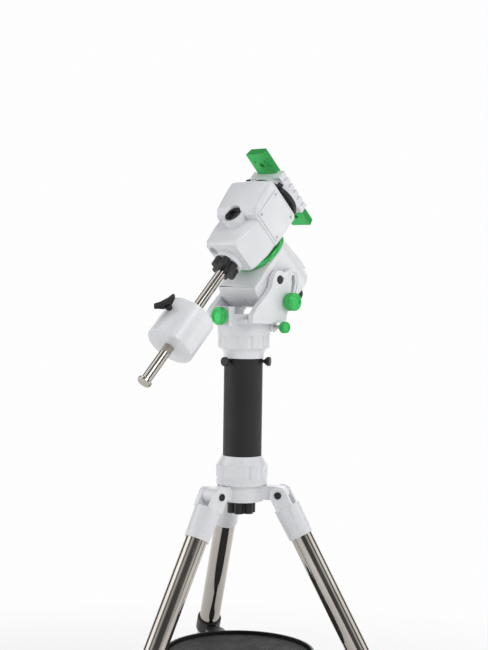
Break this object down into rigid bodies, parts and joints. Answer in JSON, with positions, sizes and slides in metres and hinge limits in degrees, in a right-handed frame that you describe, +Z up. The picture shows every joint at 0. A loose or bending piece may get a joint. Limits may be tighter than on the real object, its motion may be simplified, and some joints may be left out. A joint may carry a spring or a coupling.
{
  "type": "star tracker mount",
  "caption": "Motorised equatorial camera mount with counterweight and dovetail bar, on a black pier tube and folding steel tripod with tray.",
  "frame": {"origin": "at floor level, under the middle of the outline; the azimuth axis stands 103 mm from it along +Y", "axes": "+Z up; the polar axis leans towards -Y, over the north leg; +X is east"},
  "size_m": [0.7458, 0.6502, 1.2398],
  "materials": {
    "white_paint": "satin white powder coat",
    "green_anodised": "green anodised",
    "polished_steel": "polished stainless",
    "bearing_steel": "machined",
    "wheel_brass": "machined",
    "foot_rubber": "matt",
    "black_tube": "fine texture black",
    "black_plastic": "moulded"
  },
  "bodies": {
    "stand": {"tripod_head": "white_paint", "leg_heads": "white_paint", "leg_bolts": "bearing_steel", "upper_legs": "polished_steel", "leg_clamps": "white_paint", "tray_collars": "black_plastic", "tray": "black_plastic", "pier_lower_flange": "white_paint", "pier_tube": "black_tube", "pier_upper_flange": "white_paint", "mount_bolt": "bearing_steel"},
    "pier_bolt": {"pier_bolt": "black_plastic"},
    "mount_base": {"mount_base": "white_paint", "altitude_caps": "black_plastic"},
    "altitude_screw": {"altitude_screw": "green_anodised"},
    "polar_drive": {"polar_body": "white_paint", "polar_rear_cover": "white_paint", "polar_scope": "black_plastic", "polar_bearings": "bearing_steel", "polar_motor": "black_plastic"},
    "polar_worm": {"polar_worm": "bearing_steel"},
    "polar_clutch_ring": {"polar_clutch_ring": "green_anodised"},
    "dec_head": {"polar_shaft": "bearing_steel", "polar_wheel": "wheel_brass", "dec_housing": "white_paint", "dec_side_cover": "white_paint", "polar_window": "black_plastic", "housing_screws": "bearing_steel", "dec_bearings": "bearing_steel", "dec_motor": "black_plastic", "counterweight_shaft": "polished_steel"},
    "dec_worm": {"dec_worm": "bearing_steel"},
    "dec_clutch_ring": {"dec_clutch_ring": "black_plastic"},
    "saddle": {"dec_shaft": "bearing_steel", "dec_wheel": "wheel_brass", "saddle": "white_paint"},
    "saddle_knob_upper": {"saddle_knob_upper": "black_plastic"},
    "saddle_knob_lower": {"saddle_knob_lower": "black_plastic"},
    "dovetail_bar": {"dovetail_bar": "green_anodised"},
    "shaft_lock": {"shaft_lock": "black_plastic"},
    "counterweight": {"counterweight": "white_paint"},
    "weight_screw": {"weight_screw": "black_plastic"},
    "lower_leg_north": {"lower_leg_north": "polished_steel", "foot_north": "foot_rubber"},
    "clamp_screw_north": {"clamp_screw_north": "black_plastic"},
    "pier_screw_north": {"pier_screw_north": "black_plastic"},
    "lower_leg_east": {"lower_leg_east": "polished_steel", "foot_east": "foot_rubber"},
    "clamp_screw_east": {"clamp_screw_east": "black_plastic"},
    "pier_screw_east": {"pier_screw_east": "black_plastic"},
    "lower_leg_west": {"lower_leg_west": "polished_steel", "foot_west": "foot_rubber"},
    "clamp_screw_west": {"clamp_screw_west": "black_plastic"},
    "pier_screw_west": {"pier_screw_west": "black_plastic"},
    "azimuth_screw_east": {"azimuth_screw_east": "green_anodised"},
    "altitude_clamp_east": {"altitude_clamp_east": "green_anodised"},
    "azimuth_screw_west": {"azimuth_screw_west": "green_anodised"},
    "altitude_clamp_west": {"altitude_clamp_west": "green_anodised"}
  },
  "joints": [
    {"name": "leg_extend_north", "type": "slide", "parent": "stand", "child": "lower_leg_north", "axis": [0, -0.4695, -0.8829], "range_m": [0, 0.3]},
    {"name": "leg_clamp_turn_north", "type": "hinge", "parent": "stand", "child": "clamp_screw_north", "pos_m": [0, -0.27542, 0.13237], "axis": [0, -0.8829, 0.4695], "range_deg": [-180, 0]},
    {"name": "pier_screw_turn_north", "type": "hinge", "parent": "stand", "child": "pier_screw_north", "pos_m": [0, 0.058, 0.87], "axis": [0, -1, 0], "range_deg": [-180, 0]},
    {"name": "leg_extend_east", "type": "slide", "parent": "stand", "child": "lower_leg_east", "axis": [0.4066, 0.2347, -0.8829], "range_m": [0, 0.3]},
    {"name": "leg_clamp_turn_east", "type": "hinge", "parent": "stand", "child": "clamp_screw_east", "pos_m": [0.32772, 0.29221, 0.13237], "axis": [0.7647, 0.4415, 0.4695], "range_deg": [-180, 0]},
    {"name": "pier_screw_turn_east", "type": "hinge", "parent": "stand", "child": "pier_screw_east", "pos_m": [0.03897, 0.1255, 0.87], "axis": [0.866, 0.5, 0], "range_deg": [-180, 0]},
    {"name": "leg_extend_west", "type": "slide", "parent": "stand", "child": "lower_leg_west", "axis": [-0.4066, 0.2347, -0.8829], "range_m": [0, 0.3]},
    {"name": "leg_clamp_turn_west", "type": "hinge", "parent": "stand", "child": "clamp_screw_west", "pos_m": [-0.32772, 0.29221, 0.13237], "axis": [-0.7647, 0.4415, 0.4695], "range_deg": [-180, 0]},
    {"name": "pier_screw_turn_west", "type": "hinge", "parent": "stand", "child": "pier_screw_west", "pos_m": [-0.03897, 0.1255, 0.87], "axis": [-0.866, 0.5, 0], "range_deg": [-180, 0]},
    {"name": "pier_bolt_turn", "type": "hinge", "parent": "stand", "child": "pier_bolt", "pos_m": [0, 0.103, 0.61], "axis": [0, 0, 1], "continuous": true},
    {"name": "azimuth_turn", "type": "hinge", "parent": "stand", "child": "mount_base", "pos_m": [0, 0.103, 0.915], "axis": [0, 0, 1], "range_deg": [-8, 8]},
    {"name": "azimuth_screw_turn_east", "type": "hinge", "parent": "mount_base", "child": "azimuth_screw_east", "pos_m": [0.065, 0.133, 0.93], "axis": [1, 0, 0], "range_deg": [-1440, 1440]},
    {"name": "altitude_clamp_turn_east", "type": "hinge", "parent": "mount_base", "child": "altitude_clamp_east", "pos_m": [0.065, 0.151, 0.974], "axis": [1, 0, 0], "range_deg": [-180, 0]},
    {"name": "azimuth_screw_turn_west", "type": "hinge", "parent": "mount_base", "child": "azimuth_screw_west", "pos_m": [-0.065, 0.133, 0.93], "axis": [-1, 0, 0], "range_deg": [-1440, 1440]},
    {"name": "altitude_clamp_turn_west", "type": "hinge", "parent": "mount_base", "child": "altitude_clamp_west", "pos_m": [-0.065, 0.151, 0.974], "axis": [-1, 0, 0], "range_deg": [-180, 0]},
    {"name": "altitude_screw_turn", "type": "hinge", "parent": "mount_base", "child": "altitude_screw", "pos_m": [0, 0.043, 0.949], "axis": [0, -1, 0], "range_deg": [-3600, 3600]},
    {"name": "altitude_tilt", "type": "hinge", "parent": "mount_base", "child": "polar_drive", "pos_m": [0, 0.131, 1.012], "axis": [1, 0, 0], "range_deg": [-20, 10]},
    {"name": "polar_turn", "type": "hinge", "parent": "polar_drive", "child": "dec_head", "pos_m": [0, 0.13797, 1.06021], "axis": [0, -0.7193, 0.6947], "range_deg": [-130, 130]},
    {"name": "polar_worm_turn", "type": "hinge", "parent": "polar_drive", "child": "polar_worm", "pos_m": [0, 0.13757, 1.00222], "axis": [1, 0, 0], "range_deg": [-9400, 9400]},
    {"name": "polar_clutch_turn", "type": "hinge", "parent": "polar_drive", "child": "polar_clutch_ring", "pos_m": [0, 0.1351, 1.06299], "axis": [0, -0.7193, 0.6947], "range_deg": [-20, 20]},
    {"name": "dec_turn", "type": "hinge", "parent": "dec_head", "child": "saddle", "pos_m": [0, 0.17172, 1.15274], "axis": [0, 0.6947, 0.7193], "continuous": true},
    {"name": "dec_worm_turn", "type": "hinge", "parent": "dec_head", "child": "dec_worm", "pos_m": [0, 0.10815, 1.12794], "axis": [1, 0, 0], "continuous": true},
    {"name": "dec_clutch_turn", "type": "hinge", "parent": "dec_head", "child": "dec_clutch_ring", "pos_m": [0, 0.16894, 1.14986], "axis": [0, 0.6947, 0.7193], "range_deg": [-20, 20]},
    {"name": "saddle_knob_turn_upper", "type": "hinge", "parent": "saddle", "child": "saddle_knob_upper", "pos_m": [-0.05, 0.16696, 1.18236], "axis": [-1, 0, 0], "range_deg": [-180, 0]},
    {"name": "saddle_knob_turn_lower", "type": "hinge", "parent": "saddle", "child": "saddle_knob_lower", "pos_m": [-0.05, 0.20149, 1.14902], "axis": [-1, 0, 0], "range_deg": [-180, 0]},
    {"name": "bar_slide", "type": "slide", "parent": "saddle", "child": "dovetail_bar", "axis": [0, -0.7193, 0.6947], "range_m": [-0.03, 0.03]},
    {"name": "shaft_lock_turn", "type": "hinge", "parent": "dec_head", "child": "shaft_lock", "pos_m": [0, 0.05502, 1.03189], "axis": [0, 0.6947, 0.7193], "range_deg": [0, 180]},
    {"name": "counterweight_slide", "type": "slide", "parent": "dec_head", "child": "counterweight", "axis": [0, -0.6947, -0.7193], "range_m": [-0.01, 0.07]},
    {"name": "weight_screw_turn", "type": "hinge", "parent": "counterweight", "child": "weight_screw", "pos_m": [0, -0.07681, 0.96736], "axis": [0, -0.7193, 0.6947], "range_deg": [-180, 0]}
  ],
  "couplings": [
    {"joint": "polar_worm_turn", "follows": "polar_turn", "ratio": 72},
    {"joint": "dec_worm_turn", "follows": "dec_turn", "ratio": 48},
    {"joint": "altitude_screw_turn", "follows": "altitude_tilt", "ratio": 120},
    {"joint": "azimuth_screw_turn_east", "follows": "azimuth_turn", "ratio": 150},
    {"joint": "azimuth_screw_turn_west", "follows": "azimuth_turn", "ratio": -150}
  ]
}
